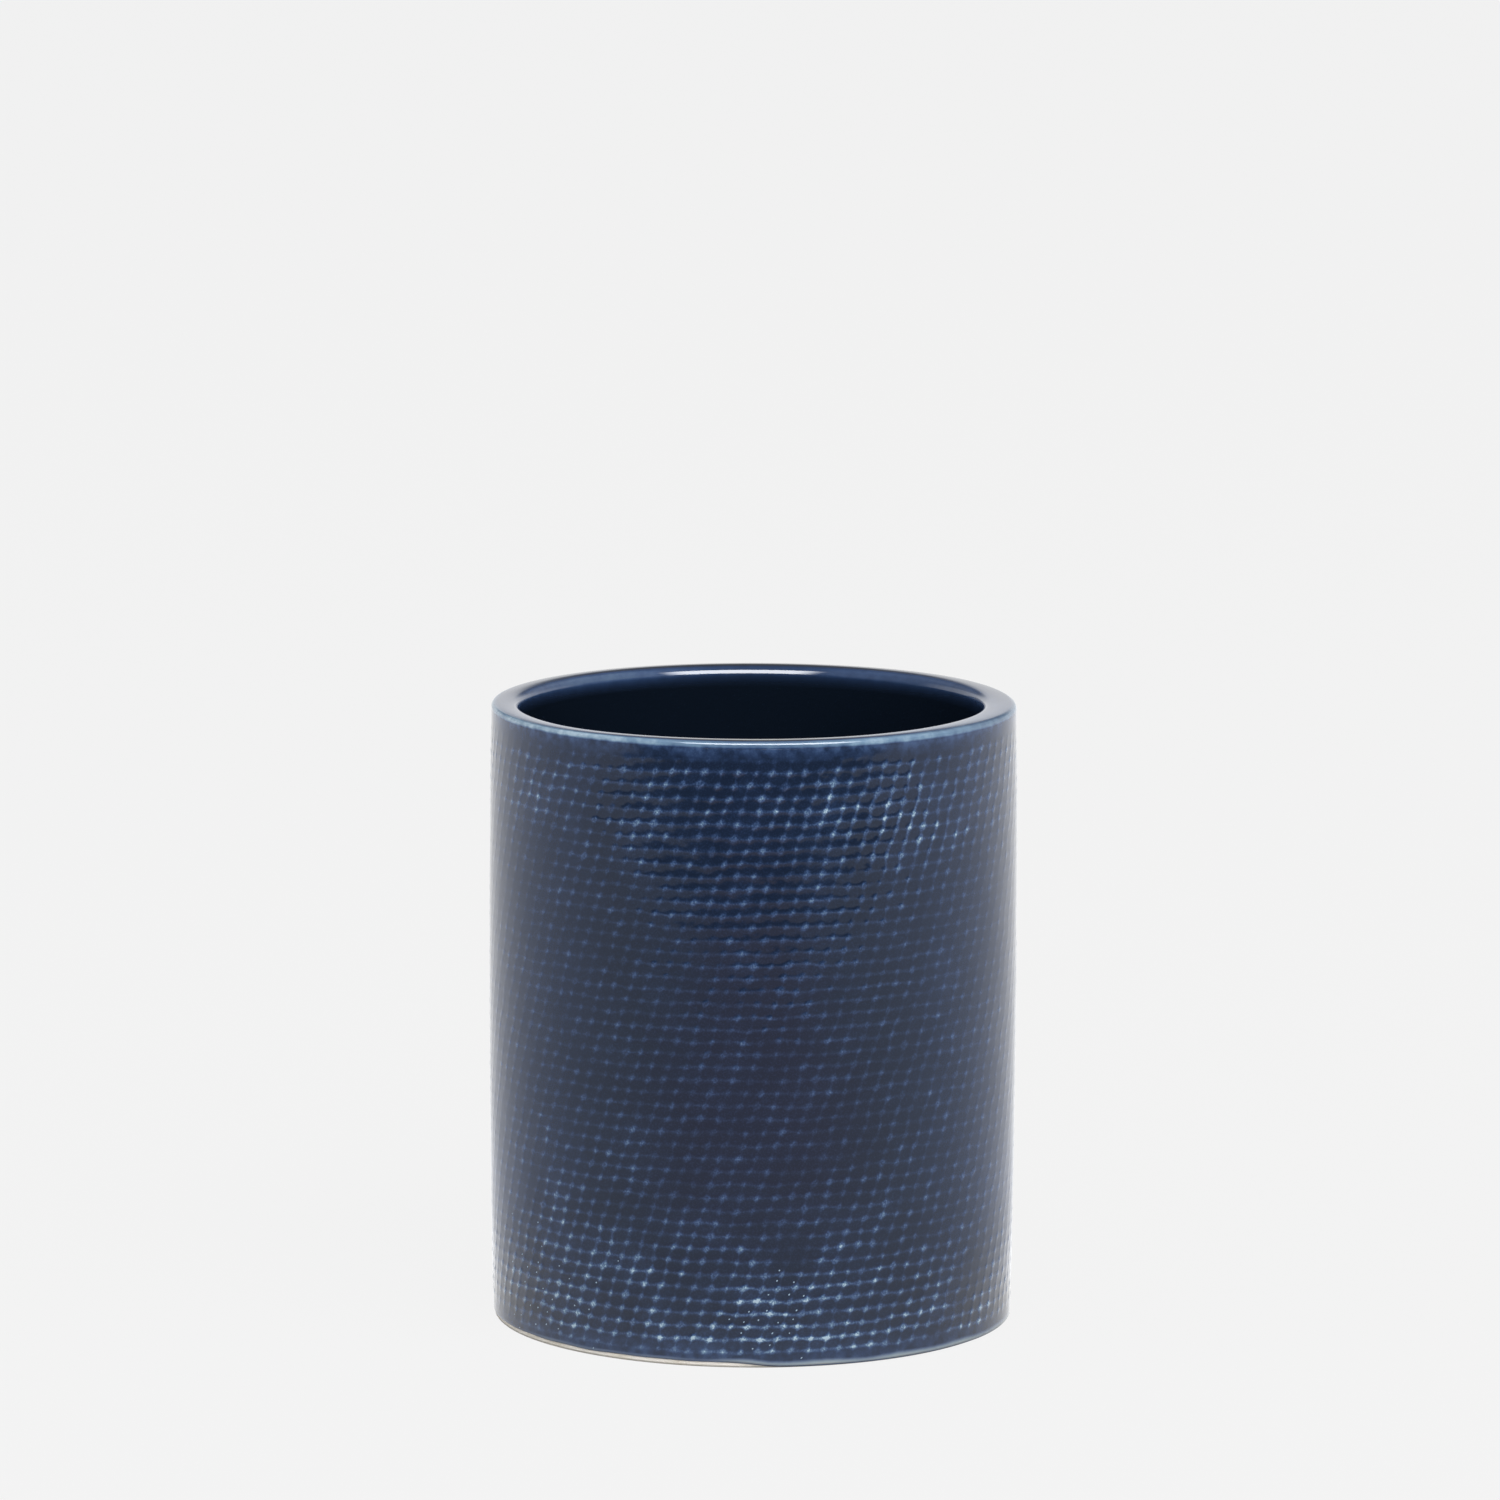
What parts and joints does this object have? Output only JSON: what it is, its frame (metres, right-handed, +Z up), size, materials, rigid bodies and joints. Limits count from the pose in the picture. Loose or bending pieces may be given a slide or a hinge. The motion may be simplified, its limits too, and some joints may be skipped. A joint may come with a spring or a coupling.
{
  "type": "brush holder",
  "caption": "Upright ceramic cup with a thick rounded lip and a bare clay foot ring, which stands on a basin or shelf and holds brushes.",
  "frame": {"origin": "middle of the foot ring, on the plane that the cup stands on", "axes": "+Z up along the cup's axis, -Y towards the viewer of the picture"},
  "size_m": [0.0868, 0.0868, 0.102],
  "materials": {
    "bare_clay": "fired stoneware clay, unglazed, matte cream",
    "outer_glaze": "glossy navy glaze over a cloth-pressed wall, pale blue where it breaks on the raised threads",
    "liner_glaze": "smooth glossy dark navy glaze, pale blue where it thins on the lip"
  },
  "bodies": {
    "root": {"clay_body": "bare_clay", "outer_glaze": "outer_glaze", "liner_glaze": "liner_glaze", "base_glaze": "liner_glaze"}
  },
  "joints": []
}
